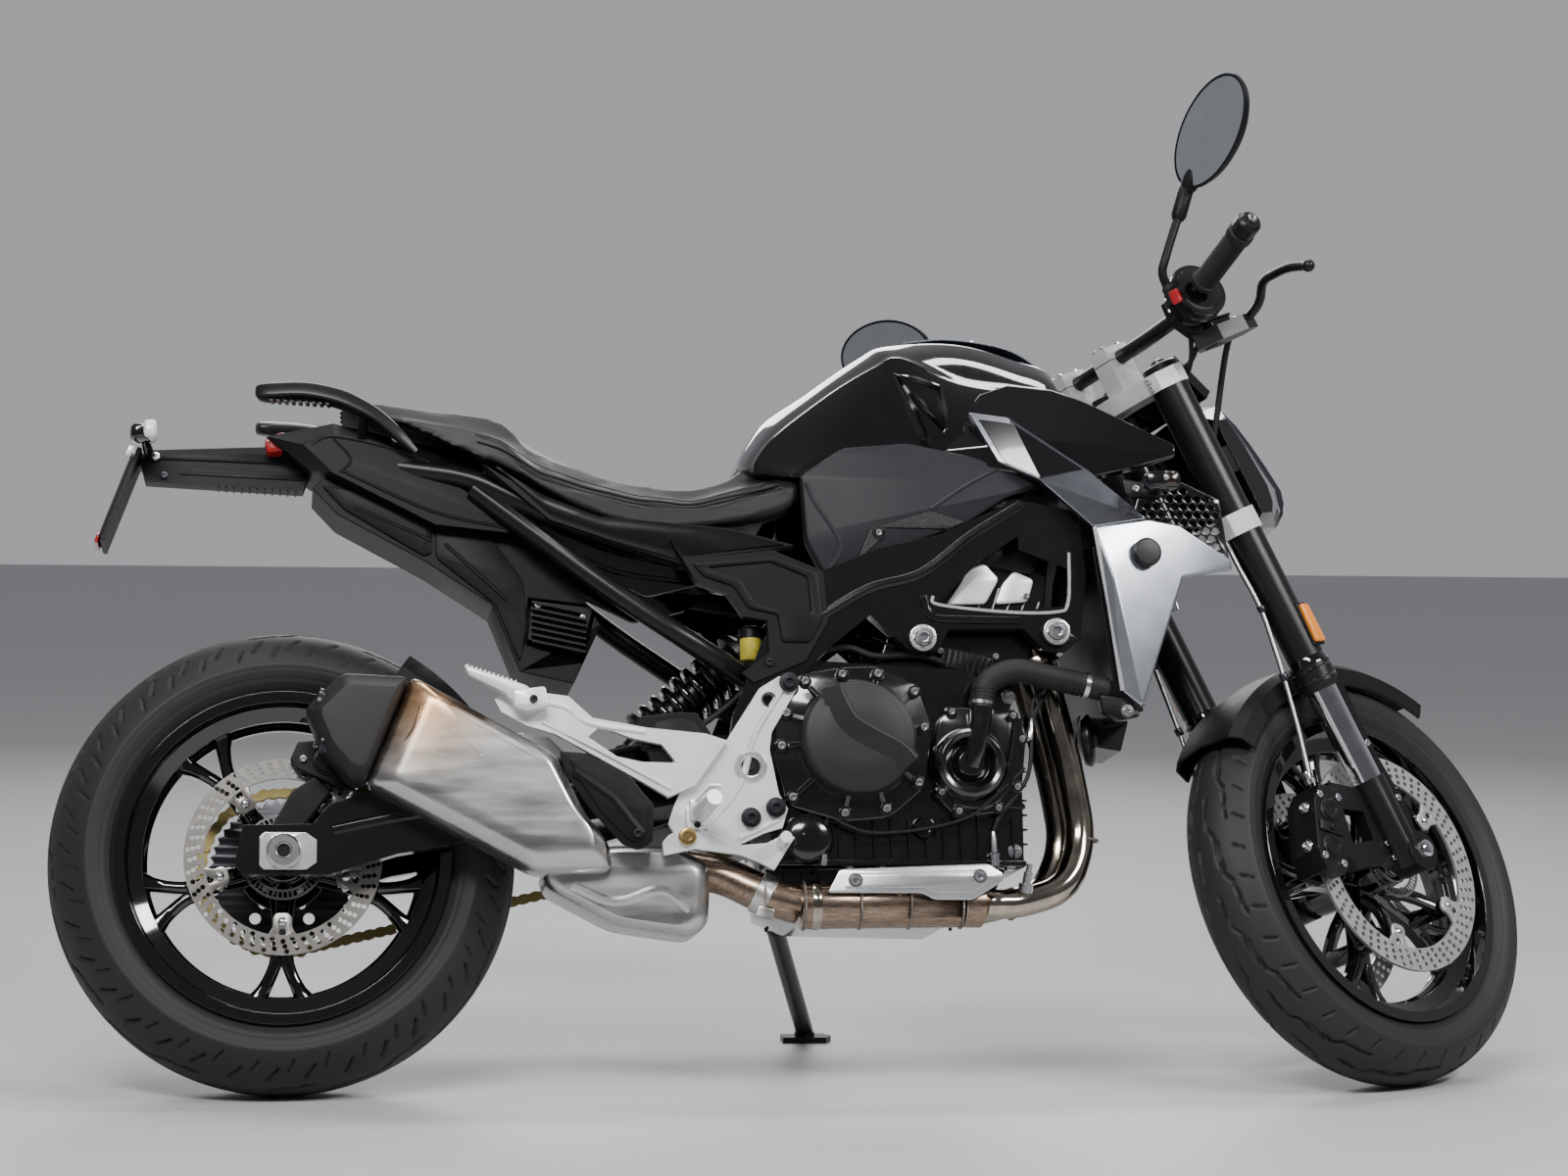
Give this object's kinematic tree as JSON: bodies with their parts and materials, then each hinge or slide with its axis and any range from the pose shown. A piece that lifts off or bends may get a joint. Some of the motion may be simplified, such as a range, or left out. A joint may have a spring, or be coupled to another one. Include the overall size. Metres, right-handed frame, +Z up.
{
  "type": "standard motorcycle",
  "caption": "Naked road motorcycle with twin-cylinder engine, bridge frame and low muffler, leaning on its side stand with the bars turned left.",
  "frame": {"origin": "middle of the whole machine's box, on the ground it stands on", "axes": "+X forwards, +Y to the rider's left, +Z up from the ground; the machine leans towards +Y"},
  "size_m": [2.0983, 0.8344, 1.409],
  "materials": {
    "black_casting": "gloss black coat",
    "bright_aluminium": "machined",
    "chain_gold": "satin",
    "chrome": "polished",
    "disc_steel": "ground",
    "gloss_black_paint": "gloss",
    "gloss_plastic": "gloss",
    "graphite_paint": "metallic",
    "matt_plastic": "fine grain",
    "rubber": "matt",
    "satin_black_paint": "satin",
    "seat_cover": "grained",
    "silver_casting": "fine blasted",
    "silver_paint": "metallic",
    "stainless": "brushed",
    "steel": "satin",
    "tyre": "matt"
  },
  "bodies": {
    "frame": {"air_grilles": "matt_plastic", "brake_reservoir": "gloss_plastic", "catalyst_pipe": "stainless", "chain": "chain_gold", "coolant_hose": "rubber", "cylinder_guard": "matt_plastic", "cylinder_head": "black_casting", "engine_case": "black_casting", "engine_covers": "black_casting", "exhaust_headers": "stainless", "foot_controls": "silver_casting", "footrest_plates": "silver_casting", "footrests": "silver_casting", "grab_handles": "satin_black_paint", "heat_shields": "bright_aluminium", "hugger": "matt_plastic", "indicators": "gloss_plastic", "main_frame": "satin_black_paint", "muffler": "stainless", "muffler_end_cap": "matt_plastic", "plate_carrier": "matt_plastic", "radiator": "black_casting", "rear_axle": "bright_aluminium", "rear_caliper": "black_casting", "regulator": "black_casting", "seat": "seat_cover", "shock": "satin_black_paint", "shroud_strips": "graphite_paint", "shrouds": "silver_paint", "side_covers": "matt_plastic", "stand_bracket": "satin_black_paint", "subframe": "satin_black_paint", "swingarm": "satin_black_paint", "tail_cowl": "matt_plastic", "tank_cover": "gloss_black_paint", "tank_side_panels": "matt_plastic", "undertail": "matt_plastic"},
    "steering": {"fork_legs": "satin_black_paint", "fork_inner_tubes": "chrome", "triple_clamps": "silver_casting", "handlebar": "satin_black_paint", "grips": "rubber", "bar_controls": "matt_plastic", "mirrors": "matt_plastic", "headlamp": "gloss_plastic", "display": "gloss_plastic", "front_mudguard": "matt_plastic", "front_calipers": "black_casting", "front_axle": "bright_aluminium", "brake_lines": "rubber"},
    "front_wheel": {"front_tyre": "tyre", "front_rim": "gloss_black_paint", "front_discs": "disc_steel"},
    "rear_wheel": {"rear_tyre": "tyre", "rear_rim": "gloss_black_paint", "rear_disc": "disc_steel", "rear_sprocket": "steel"},
    "side_stand": {"side_stand": "satin_black_paint"}
  },
  "joints": [
    {"name": "steering_turn", "type": "hinge", "parent": "frame", "child": "steering", "pos_m": [0.7579, -0.17031, 0.27248], "axis": [-0.4183, 0.2157, 0.8823], "range_deg": [-66, 0]},
    {"name": "front_wheel_spin", "type": "hinge", "parent": "steering", "child": "front_wheel", "pos_m": [0.77954, -0.15292, 0.27849], "axis": [-0.4947, 0.7606, -0.4205], "continuous": true},
    {"name": "rear_wheel_spin", "type": "hinge", "parent": "frame", "child": "rear_wheel", "pos_m": [-0.73416, -0.16141, 0.3089], "axis": [0, 0.9714, -0.2375], "continuous": true},
    {"name": "side_stand_fold", "type": "hinge", "parent": "frame", "child": "side_stand", "pos_m": [-0.04463, -0.05948, 0.2121], "axis": [-0.2824, 0.903, 0.3237], "range_deg": [0, 102.6]}
  ]
}
